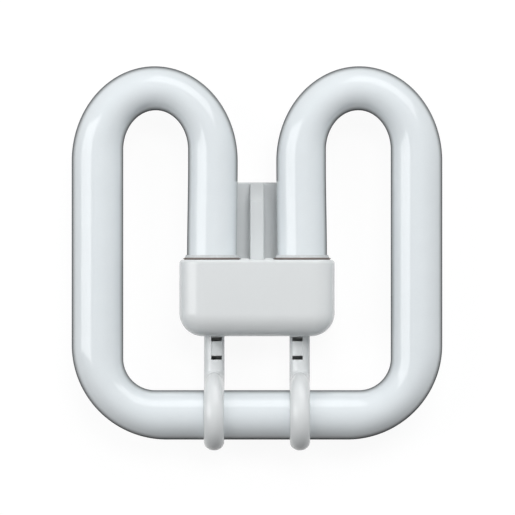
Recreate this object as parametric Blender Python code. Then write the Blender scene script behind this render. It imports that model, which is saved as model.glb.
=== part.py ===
"""Square compact fluorescent lamp: a bent glass tube, its moulded cap, pins and leads.

Metres. X runs across the lamp, Y up its face and Z out of its face. The lamp lies on
the back of its cap, on Z = 0, with the middle of its outline at X = 0, Y = 0.
"""

import math

import bmesh
import bpy
from mathutils import Matrix, Vector

# Clearance left between pieces that touch or seat on one another
SEAT_GAP = 0.0003

# Glass tube: two inner legs, two outer limbs and the foot that joins the limbs.
# A bend has an outer wall of one radius and an inner wall of another, so it is
# thinner at its middle than the straight glass.
TUBE_HEIGHT = 0.1393
LEG_GAP = 0.0144
LOOP_GAP = 0.0242
LEG_RADIUS = 0.00925
LIMB_RADIUS = 0.0096
FOOT_RADIUS = 0.0092
BEND_OUTER = 0.0354
CORNER_INNER = 0.0119
LOOP_INNER_RISE = 0.0147
LOOP_THICKNESS = 0.0164
LEG_SPLAY = 0.0004
LEG_INSERT = 0.0120
END_DOME = 0.0040
TIP_RADIUS = 0.0020
TIP_LENGTH = 0.0030
TIP_NOSE = 0.0010

# Cement collars round the legs
COLLAR_WALL = 0.0008
COLLAR_DEPTH = 0.0070
COLLAR_FLARE = 0.0004
COLLAR_RISE = 0.0013
COLLAR_LIP = 0.0002

# Cap, held above the foot limb by the reach of its arms
ARM_REACH = 0.0294
CAP_HEIGHT = 0.0285
CAP_WALL = 0.0014
CAP_EDGE_ROUND = 0.0084
CAP_FOOT_ROUND = 0.0088
CAP_TOP_ROUND = 0.0015
CAP_TOP_CHAMFER = 0.0009
CAP_BACK_ROUND = 0.0012
LUG_WIDTH = 0.0030
LUG_SPACING = 0.0088
LUG_RISE = 0.0005
LUG_ROUND = 0.0004
PEG_RADIUS = 0.0010
PEG_LENGTH = 0.0040
POST_RADIUS = 0.0018
PEG_INSET = 0.0055

# Plate behind the legs, and the rib on it
PLATE_RISE = 0.0290
PLATE_THICKNESS = 0.0016
PLATE_STANDOFF = 0.0003
PLATE_CORNER = 0.0040
PLATE_BEVEL = 0.0005
RIB_WIDTH = 0.0053
RIB_HEIGHT = 0.0080
RIB_SLOPE = 0.0063
RIB_END = 0.0016
RIB_BEVEL = 0.0005

# Recess for the lampholder in the back of the cap
RECESS_DEPTH = 0.0070
RECESS_WIDTH = 0.0400
RECESS_HEIGHT = 0.0433
RECESS_WALL = 0.0022
RECESS_CORNER = 0.0025
LATCH_LENGTH = 0.0080
LATCH_HEIGHT = 0.0030
KEY_WIDTH = 0.0040
KEY_DEPTH = 0.0015
KEY_RECESSED = 0.0010

# Contact pins
PIN_RADIUS = 0.0012
PIN_BORE = 0.0007
PIN_BORE_DEPTH = 0.0035
PIN_TAIL = 0.0036
PIN_RECESSED = 0.0010
PIN_FLANGE_RADIUS = 0.0019
PIN_FLANGE = 0.0006
PIN_SPACING = 0.0100
PIN_ROWS = 0.0080
PIN_DROP = 0.0085

# Lead wires from the tube's ends to the pins
WIRE_RADIUS = 0.0004
WIRE_INSERT = 0.0015
WIRE_OFFSET = 0.0042
WIRE_DROP_OUTER = 0.0044
WIRE_DROP_INNER = 0.0021

# Arms and hooks that hold the bottom limb
ARM_SPACING = 0.0320
ARM_WIDTH = 0.0076
HOOK_THICKNESS = 0.0038
HOOK_ROOT = 0.0064
HOOK_BEND = 0.0040
HOOK_EDGE = 0.0004
HOOK_WRAP = math.radians(202.5)
HOOK_THIN_FROM = math.radians(10)
HOOK_TIP = 0.0018
ARM_ROOT = 0.0076
SLOT_HEIGHT = 0.0015
SLOT_STRIP = 0.0027
SLOT_WEB = 0.0010
SLOT_FIRST = 0.0005
SLOT_PITCH = 0.0069
SLOT_REST = 0.0030
SLOT_FLOOR = 0.0012
POCKET_DEPTH = 0.0004
POCKET_REST = 0.0025
POCKET_FADE = 0.0022
POCKET_EDGE = math.radians(4)

# Facets
TUBE_SIDES = 28
TUBE_STEP = math.radians(8)
LEG_STEPS = 4
DOME_STEPS = 5
COLLAR_SIDES = 28
COLLAR_STEPS = 4
ROUND_SIDES = 24
PIN_SIDES = 12
PIN_NOSE_STEPS = 3
CORNER_STEPS = 6
EDGE_STEPS = 7
BACK_STEPS = 3
STRIP_STEPS = 3
POCKET_STEPS = 5
BEND_STEPS = 8
WRAP_STEPS = 18
TIP_STEPS = 3
WIRE_STEPS = 5
SHARP_ANGLE = math.radians(32)

# Places that follow from the sizes above
leg_x = LEG_GAP / 2 + LEG_RADIUS
limb_x = leg_x + LEG_RADIUS + LOOP_GAP + LIMB_RADIUS
seat_x = leg_x + LEG_SPLAY
tube_top = (TUBE_HEIGHT + SEAT_GAP + HOOK_THICKNESS) / 2
loop_y = tube_top - BEND_OUTER
foot_y = tube_top - TUBE_HEIGHT + FOOT_RADIUS
collar_radius = LEG_RADIUS + SEAT_GAP + COLLAR_WALL
opening_radius = collar_radius + SEAT_GAP
plate_front = RECESS_DEPTH + PLATE_THICKNESS
mid_z = plate_front + PLATE_STANDOFF + opening_radius
cap_front = mid_z + opening_radius + CAP_WALL
cap_half = seat_x + opening_radius + CAP_WALL
cap_foot = foot_y + ARM_REACH
cap_top = cap_foot + CAP_HEIGHT
plate_top = cap_top + PLATE_RISE
recess_half = RECESS_WIDTH / 2
recess_top = plate_top - RECESS_WALL
recess_low = recess_top - RECESS_HEIGHT
latch_y = (cap_top + plate_top) / 2
pin_y = cap_top - PIN_DROP
plate_half = recess_half + RECESS_WALL
peg_x = cap_half - PEG_INSET
peg_y = cap_foot + PEG_INSET
arm_z = mid_z - HOOK_BEND
arm_half = ARM_WIDTH / 2
strip_edge = arm_half - SLOT_STRIP
strip_angle = math.acos(strip_edge / arm_half)
hook_inner = FOOT_RADIUS + SEAT_GAP
bend_y = foot_y + hook_inner + HOOK_ROOT / 2 + HOOK_BEND
slot_room = cap_foot - SLOT_FIRST - SLOT_HEIGHT - SLOT_REST - bend_y


def smooth(t):
    """A step from 0 to 1 that starts and ends level."""
    t = min(max(t, 0.0), 1.0)
    return t * t * (3 - 2 * t)


def clear_scene():
    for old in list(bpy.data.objects):
        bpy.data.objects.remove(old, do_unlink=True)


def make_material(name, colour, roughness, metallic=0.0):
    made = bpy.data.materials.new(name)
    made.use_nodes = True
    shader = made.node_tree.nodes["Principled BSDF"]
    shader.inputs["Base Color"].default_value = (*colour, 1.0)
    shader.inputs["Roughness"].default_value = roughness
    shader.inputs["Metallic"].default_value = metallic
    return made


def add_object(name, bm):
    """Puts a bmesh into the scene as an object, its faces turned outwards."""
    bmesh.ops.recalc_face_normals(bm, faces=bm.faces)
    mesh = bpy.data.meshes.new(name)
    bm.to_mesh(mesh)
    bm.free()
    obj = bpy.data.objects.new(name, mesh)
    bpy.context.scene.collection.objects.link(obj)
    return obj


def finish(obj, made):
    """Gives a piece its material and smooth shading between its sharp edges."""
    obj.data.materials.clear()
    obj.data.materials.append(made)
    obj.data.shade_smooth()
    obj.data.set_sharp_from_angle(angle=SHARP_ANGLE)
    return obj


def combine(target, tool, operation):
    """Applies a Boolean to target and removes the tool."""
    modifier = target.modifiers.new(operation.lower(), "BOOLEAN")
    modifier.operation = operation
    modifier.object = tool
    modifier.solver = "EXACT"
    graph = bpy.context.evaluated_depsgraph_get()
    result = bpy.data.meshes.new_from_object(target.evaluated_get(graph))
    target.modifiers.clear()
    target.data = result
    bpy.data.objects.remove(tool, do_unlink=True)
    return target


def skin(rings):
    """A closed surface through rings that have the same number of points."""
    bm = bmesh.new()
    loops = [[bm.verts.new(point) for point in ring] for ring in rings]
    for lower, upper in zip(loops, loops[1:]):
        for i in range(len(lower)):
            bm.faces.new((lower[i - 1], lower[i], upper[i], upper[i - 1]))
    bm.faces.new(loops[0])
    bm.faces.new(loops[-1])
    return bm


def rounded(half, low, high, low_round, high_round):
    """A rectangle about X = 0 from low to high, with one radius for each pair of corners."""
    corners = (
        (half - low_round, low + low_round, low_round, -90),
        (half - high_round, high - high_round, high_round, 0),
        (high_round - half, high - high_round, high_round, 90),
        (low_round - half, low + low_round, low_round, 180),
    )
    points = []
    for x, y, radius, start in corners:
        for i in range(CORNER_STEPS + 1):
            angle = math.radians(start + 90 * i / CORNER_STEPS)
            points.append((x + radius * math.cos(angle), y + radius * math.sin(angle)))
    return points


def block(name, outline, levels, shift=0.0):
    """Stacks an outline: each level is its height and how far the outline is drawn in there."""
    rings = []
    for z, inset in levels:
        rings.append([(x + shift, y, z) for x, y in outline(inset)])
    return add_object(name, skin(rings))


def round_levels(radius):
    """The levels of a rounded lower edge, from height 0 up."""
    angles = [math.pi / 2 * i / BACK_STEPS for i in range(BACK_STEPS + 1)]
    return [(radius * (1 - math.cos(a)), radius * (1 - math.sin(a))) for a in angles]


def box(name, x, y, z):
    """A plain block between the given pairs of limits."""
    bm = bmesh.new()
    bmesh.ops.create_cube(bm, size=1.0)
    for vert in bm.verts:
        vert.co = [low + (high - low) * (part + 0.5) for part, (low, high) in zip(vert.co, (x, y, z))]
    return add_object(name, bm)


def cylinder(name, radius, start, end, sides=ROUND_SIDES):
    """A cylinder between two points."""
    axis = Vector(end) - Vector(start)
    turn = Vector((0, 0, 1)).rotation_difference(axis)
    place = Matrix.LocRotScale((Vector(start) + Vector(end)) / 2, turn, None)
    bm = bmesh.new()
    bmesh.ops.create_cone(
        bm,
        cap_ends=True,
        segments=sides,
        radius1=radius,
        radius2=radius,
        depth=axis.length,
        matrix=place,
    )
    return add_object(name, bm)


def turned(profile, sides):
    """Turns a closed profile of (radius, height) pairs about the Z axis."""
    bm = bmesh.new()
    rings = []
    for radius, height in profile:
        if radius == 0:
            rings.append([bm.verts.new((0, 0, height))] * sides)
            continue
        turns = [2 * math.pi * i / sides for i in range(sides)]
        rings.append([bm.verts.new((radius * math.cos(a), radius * math.sin(a), height)) for a in turns])
    for k in range(len(rings)):
        lower, upper = rings[k - 1], rings[k]
        for i in range(sides):
            corners = dict.fromkeys((lower[i - 1], lower[i], upper[i], upper[i - 1]))
            if len(corners) > 2:
                bm.faces.new(list(corners))
    return bm


def on_ellipse(centre, reach, angle):
    """A point of an ellipse that lies in the plane of the tube's middle."""
    return Vector((centre[0] + reach[0] * math.cos(angle), centre[1] + reach[1] * math.sin(angle), mid_z))


def bend(outer_centre, outer_reach, inner_centre, inner_reach, start, sweep, depths):
    """Stations round a bend, between its outer wall and its inner wall.

    A station is the middle of the section, its half width as a vector that points to the
    outside of the bend, and its half depth. Both walls are arcs of ellipses.
    """
    count = math.ceil(abs(sweep) / TUBE_STEP)
    stations = []
    for i in range(count + 1):
        t = i / count
        outer = on_ellipse(outer_centre, outer_reach, start + sweep * t)
        inner = on_ellipse(inner_centre, inner_reach, start + sweep * t)
        depth = depths[0] + (depths[1] - depths[0]) * smooth(t)
        stations.append(((outer + inner) / 2, (outer - inner) / 2, depth))
    return stations


def tip_profile():
    """The sealed end, tip first: pairs of radius and distance past the straight glass."""
    nose = END_DOME + TIP_LENGTH
    profile = [(TIP_RADIUS - TIP_NOSE, nose), (TIP_RADIUS, nose - TIP_NOSE)]
    for i in range(DOME_STEPS + 1):
        angle = math.pi / 2 * (1 - i / DOME_STEPS)
        radius = TIP_RADIUS + (LEG_RADIUS - TIP_RADIUS) * math.cos(angle)
        profile.append((radius, END_DOME * math.sin(angle)))
    return profile


def half_tube_stations():
    """Stations of the right half of the tube, from its end in the cap to the foot."""
    end_y = cap_top - LEG_INSERT
    stations = []
    for radius, drop in tip_profile():
        stations.append((Vector((seat_x, end_y - drop, mid_z)), Vector((-radius, 0, 0)), radius))
    for i in range(LEG_STEPS):
        t = i / LEG_STEPS
        y = cap_top + (loop_y - cap_top) * t
        place = Vector((leg_x + LEG_SPLAY * (1 - smooth(t)), y, mid_z))
        stations.append((place, Vector((-LEG_RADIUS, 0, 0)), LEG_RADIUS))
    outer_half = (limb_x + LIMB_RADIUS - leg_x + LEG_RADIUS) / 2
    stations += bend(
        (limb_x + LIMB_RADIUS - outer_half, loop_y),
        (outer_half, BEND_OUTER),
        (leg_x + LEG_RADIUS + LOOP_GAP / 2, tube_top - LOOP_THICKNESS - LOOP_INNER_RISE),
        (LOOP_GAP / 2, LOOP_INNER_RISE),
        math.pi,
        -math.pi,
        (LEG_RADIUS, LIMB_RADIUS),
    )
    stations += bend(
        (limb_x + LIMB_RADIUS - BEND_OUTER, foot_y - FOOT_RADIUS + BEND_OUTER),
        (BEND_OUTER, BEND_OUTER),
        (limb_x - LIMB_RADIUS - CORNER_INNER, foot_y + FOOT_RADIUS + CORNER_INNER),
        (CORNER_INNER, CORNER_INNER),
        0,
        -math.pi / 2,
        (LIMB_RADIUS, FOOT_RADIUS),
    )
    return stations


def mirrored(point):
    return Vector((-point.x, point.y, point.z))


def build_tube(made):
    """The bent tube, as elliptical rings through the stations of both halves."""
    right = half_tube_stations()
    left = [(mirrored(place), mirrored(half), depth) for place, half, depth in reversed(right)]
    rings = []
    for place, half, depth in right + left:
        ring = []
        for i in range(TUBE_SIDES):
            angle = 2 * math.pi * i / TUBE_SIDES
            ring.append(place + half * math.cos(angle) + Vector((0, 0, depth * math.sin(angle))))
        rings.append(ring)
    return finish(add_object("discharge_tube", skin(rings)), made)


def build_collars(made):
    """Cement round each leg, flared above the cap and thinned to the glass."""
    inner = LEG_RADIUS + SEAT_GAP
    flare = collar_radius + COLLAR_FLARE
    neck = inner + COLLAR_LIP
    brim = SEAT_GAP + COLLAR_LIP
    profile = [
        (inner, -COLLAR_DEPTH),
        (collar_radius, -COLLAR_DEPTH),
        (collar_radius, SEAT_GAP),
        (flare, SEAT_GAP),
    ]
    for i in range(COLLAR_STEPS + 1):
        angle = math.pi / 2 * i / COLLAR_STEPS
        radius = neck + (flare - neck) * (1 - math.sin(angle))
        profile.append((radius, brim + COLLAR_RISE * (1 - math.cos(angle))))
    profile.append((inner, brim + COLLAR_RISE))
    upright = Matrix.Rotation(-math.pi / 2, 4, "X")
    for side, name in ((-1, "cement_collar_left"), (1, "cement_collar_right")):
        bm = turned(profile, COLLAR_SIDES)
        bm.transform(Matrix.Translation((side * seat_x, cap_top, mid_z)) @ upright)
        finish(add_object(name, bm), made)


def cap_outline(inset, top_inset=None):
    """The cap's outline from the front, drawn in by inset."""
    top_inset = inset if top_inset is None else top_inset
    return rounded(
        cap_half - inset,
        cap_foot + inset,
        cap_top - top_inset,
        CAP_FOOT_ROUND - inset,
        CAP_TOP_ROUND,
    )


def cover_form(name, wall, start):
    """The domed front of the cap, drawn in by wall, from the height start to its front."""
    rings = [[(x, y, start) for x, y in cap_outline(wall)]]
    for i in range(EDGE_STEPS + 1):
        angle = math.pi / 2 * i / EDGE_STEPS
        inset = wall + (CAP_EDGE_ROUND - wall) * (1 - math.cos(angle))
        z = cap_front - CAP_EDGE_ROUND + (CAP_EDGE_ROUND - wall) * math.sin(angle)
        top_inset = max(wall, CAP_TOP_CHAMFER - (cap_front - z))
        rings.append([(x, y, z) for x, y in cap_outline(inset, top_inset)])
    return add_object(name, skin(rings))


def cut_openings(target):
    """Cuts the two round openings for the legs through the top wall."""
    for side in (-1, 1):
        start = (side * seat_x, cap_top + CAP_WALL, mid_z)
        end = (side * seat_x, cap_top - 2 * CAP_WALL, mid_z)
        combine(target, cylinder("opening", opening_radius, start, end, COLLAR_SIDES), "DIFFERENCE")


def build_cover(made):
    """The front moulding: a shell with half of each opening, two lugs and two pegs."""
    rim = mid_z + SEAT_GAP / 2
    cover = cover_form("cap_cover", 0.0, rim)
    combine(cover, cover_form("cover_hollow", CAP_WALL, rim - CAP_WALL), "DIFFERENCE")
    cut_openings(cover)
    lug_levels = ((rim, 0), (cap_front - CAP_TOP_CHAMFER, 0))
    for side in (-1, 1):
        lug = block("lug", lug_outline, lug_levels, side * LUG_SPACING / 2)
        combine(cover, lug, "UNION")
        top = (side * peg_x, peg_y, cap_front)
        post = cylinder("post", POST_RADIUS, (side * peg_x, peg_y, rim), top, PIN_SIDES)
        combine(post, cover_form("trim", CAP_WALL / 2, rim - PEG_LENGTH), "INTERSECT")
        combine(cover, post, "UNION")
        foot = (side * peg_x, peg_y, mid_z - PEG_LENGTH)
        peg = cylinder("peg", PEG_RADIUS, foot, (side * peg_x, peg_y, rim + CAP_WALL), PIN_SIDES)
        combine(cover, peg, "UNION")
    return finish(cover, made)


def lug_outline(inset):
    """A low rounded bump on the cap's top edge."""
    return rounded(
        LUG_WIDTH / 2 - inset,
        cap_top - CAP_WALL / 2,
        cap_top + LUG_RISE,
        LUG_ROUND,
        LUG_ROUND,
    )


def rib_outline(inset):
    """The rib's side outline as (y, z), with its front, slope and end drawn in by inset."""
    top = plate_front + RIB_HEIGHT
    end = plate_top - PLATE_BEVEL
    start = cap_top - CAP_WALL / 2
    foot = plate_front - PLATE_THICKNESS / 2
    steep = (RIB_HEIGHT - RIB_END) / RIB_SLOPE
    lean = math.sqrt(1 + steep * steep)
    return [
        (start, foot),
        (start, top - inset),
        (end - RIB_SLOPE - inset * (lean - 1) / steep, top - inset),
        (end - inset, plate_front + RIB_END - inset * (lean - steep)),
        (end - inset, foot),
    ]


def build_rib():
    """The rib on the plate: it rises from the plate's top edge in a straight slope."""
    rings = []
    for x, inset in (
        (-RIB_WIDTH / 2, RIB_BEVEL),
        (-RIB_WIDTH / 2 + RIB_BEVEL, 0),
        (RIB_WIDTH / 2 - RIB_BEVEL, 0),
        (RIB_WIDTH / 2, RIB_BEVEL),
    ):
        rings.append([(x, y, z) for y, z in rib_outline(inset)])
    return add_object("rib", skin(rings))


def hook_ring(side, y, z, turn, half, scale=1.0, pocket=0.0, root=0.0):
    """A half-round section of one arm, across its path at (y, z).

    Its flat side faces the limb, root further back, and its round side faces out. The round
    side is lowered by pocket from the edge of the arm's outer strip inwards.
    """
    out = Vector((0, math.sin(turn), math.cos(turn)))
    place = Vector((side * ARM_SPACING / 2, y, z))
    wide = Vector((side * arm_half * scale, 0, 0))
    high = half * scale
    edge = HOOK_EDGE * scale - high
    ring = [place - wide - out * (high + root), place + wide - out * (high + root)]
    for i in range(STRIP_STEPS + 1):
        angle = strip_angle * i / STRIP_STEPS
        ring.append(place + wide * math.cos(angle) + out * (edge + (high - edge) * math.sin(angle)))
    start = strip_angle + POCKET_EDGE
    for i in range(POCKET_STEPS + 1):
        angle = start + (math.pi - start) * i / POCKET_STEPS
        rise = edge + (high - edge - pocket) * math.sin(angle)
        ring.append(place + wide * math.cos(angle) + out * rise)
    return ring


def hook_rings(side):
    """Down the arm, forwards over the bottom limb, round its front and in under it."""
    thin = HOOK_THICKNESS / 2
    thick = HOOK_ROOT / 2
    pocket_y = bend_y + POCKET_REST
    rings = [
        hook_ring(side, cap_foot + CAP_WALL / 2, arm_z, 0, thin, pocket=POCKET_DEPTH, root=ARM_ROOT),
        hook_ring(side, pocket_y + POCKET_FADE, arm_z, 0, thin, pocket=POCKET_DEPTH, root=ARM_ROOT),
        hook_ring(side, pocket_y, arm_z, 0, thin, root=ARM_ROOT),
    ]
    for i in range(BEND_STEPS):
        t = i / BEND_STEPS
        turn = math.pi / 2 * t
        y = bend_y - HOOK_BEND * math.sin(turn)
        z = mid_z - HOOK_BEND * math.cos(turn)
        half = thin + (thick - thin) * smooth(t)
        rings.append(hook_ring(side, y, z, turn, half, root=ARM_ROOT * (1 - smooth(t))))
    for i in range(WRAP_STEPS + 1):
        turn = math.pi / 2 - HOOK_WRAP * i / WRAP_STEPS
        t = (turn - HOOK_THIN_FROM) / (math.pi / 2 - HOOK_THIN_FROM)
        half = thin + (thick - thin) * smooth(t)
        reach = hook_inner + half
        y = foot_y + reach * math.sin(turn)
        z = mid_z + reach * math.cos(turn)
        rings.append(hook_ring(side, y, z, turn, half))
    reach = hook_inner + thin
    for i in range(TIP_STEPS):
        angle = math.pi / 2 * (i + 1) / (TIP_STEPS + 1)
        turn = math.pi / 2 - HOOK_WRAP - HOOK_TIP * math.sin(angle) / reach
        y = foot_y + reach * math.sin(turn)
        z = mid_z + reach * math.cos(turn)
        rings.append(hook_ring(side, y, z, turn, thin, math.cos(angle)))
    return rings


def plate_outline(inset):
    """The plate's outline, from inside the cap to its free top edge."""
    low = cap_top - 2 * CAP_WALL
    return rounded(plate_half - inset, low, plate_top - inset, PLATE_BEVEL, PLATE_CORNER - inset)


def recess_outline(inset):
    """The recess's outline, drawn in by inset."""
    half = recess_half - inset
    return rounded(half, recess_low + inset, recess_top - inset, RECESS_CORNER, RECESS_CORNER)


def build_base(made):
    """The back moulding: tray, plate, rib, recess, bosses, arms and hooks in one."""
    rim = mid_z - SEAT_GAP / 2
    base = block("cap_base", cap_outline, round_levels(CAP_BACK_ROUND) + [(rim, 0)])
    plate = block(
        "plate",
        plate_outline,
        ((0, PLATE_BEVEL), (PLATE_BEVEL, 0), (plate_front - PLATE_BEVEL, 0), (plate_front, PLATE_BEVEL)),
    )
    combine(base, plate, "UNION")

    hollow = block("hollow", cap_outline, ((CAP_WALL, CAP_WALL), (rim + CAP_WALL, CAP_WALL)))
    cup = box(
        "cup",
        (-plate_half, plate_half),
        (recess_low - RECESS_WALL, cap_top + CAP_WALL),
        (0, plate_front),
    )
    combine(hollow, cup, "DIFFERENCE")
    combine(base, hollow, "DIFFERENCE")
    combine(base, block("recess", recess_outline, ((-CAP_WALL, 0), (RECESS_DEPTH, 0))), "DIFFERENCE")
    combine(base, build_rib(), "UNION")
    cut_openings(base)
    key = box(
        "key",
        (-KEY_WIDTH / 2, KEY_WIDTH / 2),
        (recess_top - KEY_DEPTH, recess_top + RECESS_WALL / 2),
        (KEY_RECESSED, RECESS_DEPTH + PLATE_THICKNESS / 2),
    )
    combine(base, key, "UNION")
    for x, y in pin_places():
        foot = (x, y, RECESS_DEPTH / 2)
        top = (x, y, plate_front + CAP_WALL)
        combine(base, cylinder("hole", PIN_RADIUS + SEAT_GAP, foot, top), "DIFFERENCE")
    for side in (-1, 1):
        add_side_features(base, side, rim)
    return finish(base, made)


def add_side_features(base, side, rim):
    """The latch window, peg boss and slotted arm of one side of the base."""
    latch = box(
        "latch",
        sorted((side * (recess_half - RECESS_WALL), side * (plate_half + RECESS_WALL))),
        (latch_y - LATCH_LENGTH / 2, latch_y + LATCH_LENGTH / 2),
        (RECESS_DEPTH / 2 - LATCH_HEIGHT / 2, RECESS_DEPTH / 2 + LATCH_HEIGHT / 2),
    )
    combine(base, latch, "DIFFERENCE")
    boss_foot = (side * peg_x, peg_y, CAP_WALL / 2)
    boss_top = (side * peg_x, peg_y, mid_z - SEAT_GAP)
    boss_radius = PEG_RADIUS + SEAT_GAP + CAP_WALL
    combine(base, cylinder("boss", boss_radius, boss_foot, boss_top), "UNION")
    socket_foot = (side * peg_x, peg_y, mid_z - PEG_LENGTH - SEAT_GAP)
    socket_top = (side * peg_x, peg_y, rim + CAP_WALL)
    socket = cylinder("socket", PEG_RADIUS + SEAT_GAP, socket_foot, socket_top, PIN_SIDES)
    combine(base, socket, "DIFFERENCE")

    middle = side * ARM_SPACING / 2
    slot_floor = arm_z - HOOK_THICKNESS / 2 - ARM_ROOT + SLOT_FLOOR
    combine(base, add_object("arm", skin(hook_rings(side))), "UNION")
    for i in range(int(slot_room / SLOT_PITCH) + 1):
        high = cap_foot - SLOT_FIRST - SLOT_PITCH * i
        slot = box(
            "slot",
            sorted((middle - side * (arm_half - SLOT_WEB), middle + side * strip_edge)),
            (high - SLOT_HEIGHT, high),
            (slot_floor, arm_z + ARM_WIDTH),
        )
        combine(base, slot, "DIFFERENCE")


def pin_places():
    """The four pins, two on each side, the upper pin of a side before its lower one."""
    return [
        (side * PIN_SPACING / 2, pin_y + row * PIN_ROWS / 2)
        for side in (-1, 1)
        for row in (1, -1)
    ]


def build_pins(made):
    """Hollow pins: round nose in the recess, flange on the plate, open tail for the wire."""
    tail = plate_front + PIN_TAIL
    seat = plate_front + SEAT_GAP
    profile = [(0, PIN_RECESSED)]
    for i in range(PIN_NOSE_STEPS):
        angle = math.pi / 2 * (i + 1) / PIN_NOSE_STEPS
        height = PIN_RECESSED + PIN_RADIUS * (1 - math.cos(angle))
        profile.append((PIN_RADIUS * math.sin(angle), height))
    profile += [
        (PIN_RADIUS, seat),
        (PIN_FLANGE_RADIUS, seat),
        (PIN_FLANGE_RADIUS, seat + PIN_FLANGE),
        (PIN_RADIUS, seat + PIN_FLANGE),
        (PIN_RADIUS, tail),
        (PIN_BORE, tail),
        (PIN_BORE, tail - PIN_BORE_DEPTH),
        (0, tail - PIN_BORE_DEPTH),
    ]
    for i, (x, y) in enumerate(pin_places()):
        bm = turned(profile, PIN_SIDES)
        bm.transform(Matrix.Translation((x, y, 0)))
        finish(add_object(f"contact_pin_{i + 1}", bm), made)


def wire_route(side, row):
    """Points from the end of the glass to the mouth of a pin, for one wire of one side."""
    x = side * PIN_SPACING / 2
    y = pin_y + row * PIN_ROWS / 2
    tail = plate_front + PIN_TAIL
    glass_x = side * (seat_x + row * WIRE_OFFSET)
    glass_y = cap_top - LEG_INSERT - END_DOME - 2 * SEAT_GAP
    route = [Vector((glass_x, glass_y, mid_z)), Vector((glass_x, glass_y - 2 * WIRE_RADIUS, mid_z))]
    drop = glass_y - (WIRE_DROP_OUTER if row > 0 else WIRE_DROP_INNER)
    route.append(Vector((glass_x - side * WIRE_OFFSET / 2, drop, mid_z)))
    if row > 0:
        route.append(Vector((x + side * WIRE_OFFSET, drop, mid_z + WIRE_OFFSET)))
        route.append(Vector((x - side * WIRE_OFFSET / 2, y - PIN_ROWS, mid_z + WIRE_OFFSET)))
    route.append(Vector((x, y, tail + WIRE_OFFSET)))
    route.append(Vector((x, y, tail)))
    route.append(Vector((x, y, tail - WIRE_INSERT)))
    return route


def build_wires(made):
    """Round wires along smooth routes, each let into the tail of its pin."""
    number = 0
    for side in (-1, 1):
        for row in (1, -1):
            number += 1
            route = wire_route(side, row)
            curve = bpy.data.curves.new(f"lead_wire_{number}", "CURVE")
            curve.dimensions = "3D"
            curve.resolution_u = WIRE_STEPS
            curve.bevel_depth = WIRE_RADIUS
            curve.bevel_resolution = 1
            curve.use_fill_caps = True
            spline = curve.splines.new("BEZIER")
            spline.bezier_points.add(len(route) - 1)
            for knot, place in zip(spline.bezier_points, route):
                knot.co = place
                knot.handle_left_type = "AUTO"
                knot.handle_right_type = "AUTO"
            curve.materials.append(made)
            obj = bpy.data.objects.new(f"lead_wire_{number}", curve)
            bpy.context.scene.collection.objects.link(obj)


def main():
    clear_scene()
    coated_glass = make_material("coated_glass", (0.80, 0.82, 0.83), 0.22)
    white_plastic = make_material("white_plastic", (0.76, 0.77, 0.77), 0.42)
    cement = make_material("cement", (0.66, 0.66, 0.63), 0.85)
    brass = make_material("brass", (0.78, 0.58, 0.28), 0.3, 1.0)
    wire_metal = make_material("wire_metal", (0.62, 0.60, 0.57), 0.4, 1.0)
    build_tube(coated_glass)
    build_collars(cement)
    build_cover(white_plastic)
    build_base(white_plastic)
    build_pins(brass)
    build_wires(wire_metal)


main()
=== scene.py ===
# Square compact fluorescent lamp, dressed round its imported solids.
# Metres: X across the lamp, Y up its face, Z out of its face. It lies on the back of its cap.
import math

import bmesh
import bpy
import numpy as np
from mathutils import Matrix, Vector


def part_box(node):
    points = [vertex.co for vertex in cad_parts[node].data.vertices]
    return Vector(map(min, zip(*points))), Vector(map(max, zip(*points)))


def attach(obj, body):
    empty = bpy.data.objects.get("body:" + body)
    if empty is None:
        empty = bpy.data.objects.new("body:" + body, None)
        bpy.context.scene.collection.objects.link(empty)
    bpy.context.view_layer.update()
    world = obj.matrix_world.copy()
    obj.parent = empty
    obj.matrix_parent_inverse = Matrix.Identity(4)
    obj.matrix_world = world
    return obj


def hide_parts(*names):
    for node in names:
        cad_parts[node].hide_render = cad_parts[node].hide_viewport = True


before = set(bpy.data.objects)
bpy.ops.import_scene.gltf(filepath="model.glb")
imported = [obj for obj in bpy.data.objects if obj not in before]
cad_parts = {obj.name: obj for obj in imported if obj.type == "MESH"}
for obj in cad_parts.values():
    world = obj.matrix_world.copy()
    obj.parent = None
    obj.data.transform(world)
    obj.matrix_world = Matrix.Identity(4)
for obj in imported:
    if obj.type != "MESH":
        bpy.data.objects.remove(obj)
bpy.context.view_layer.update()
print("frame loaded:", len(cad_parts), "nodes")

quarter = math.pi / 2
seatGap = 0.0003  # clearance between pieces that touch
creaseAngle = math.radians(28)  # sharper edges than this stay sharp

# What everything hangs from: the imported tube's reach, its middle plane, and the base's front
tubeLow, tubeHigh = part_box("discharge_tube")
midZ = (tubeLow.z + tubeHigh.z) / 2
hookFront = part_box("cap_base")[1].z


# Mesh helpers


def smoothStep(t):
    # 0 to 1 with level ends: t squared times (3 - 2t)
    t = np.clip(t, 0, 1)
    return t * t * (3 - 2 * t)


def placed(name, data):
    thing = bpy.data.objects.new(name, data)
    bpy.context.scene.collection.objects.link(thing)
    return thing


def meshObject(name, points, faces):
    mesh = bpy.data.meshes.new(name)
    mesh.from_pydata(np.asarray(points, float).reshape(-1, 3).tolist(), [], faces)
    shell = bmesh.new()
    shell.from_mesh(mesh)
    bmesh.ops.recalc_face_normals(shell, faces=shell.faces)
    shell.to_mesh(mesh)
    shell.free()
    return placed(name, mesh)


def lofted(name, rings, endless=False):
    # rings is (stations, points, 3): quads join each ring to the next, and the end rings are filled
    count, sides = rings.shape[:2]
    index = np.arange(count * sides).reshape(count, sides)
    near, far = (index, np.roll(index, -1, 0)) if endless else (index[:-1], index[1:])
    quads = np.stack([near, np.roll(near, -1, 1), np.roll(far, -1, 1), far], -1)
    faces = quads.reshape(-1, 4).tolist()
    if not endless:
        faces += [index[0].tolist(), index[-1].tolist()]
    return meshObject(name, rings, faces)


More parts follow.
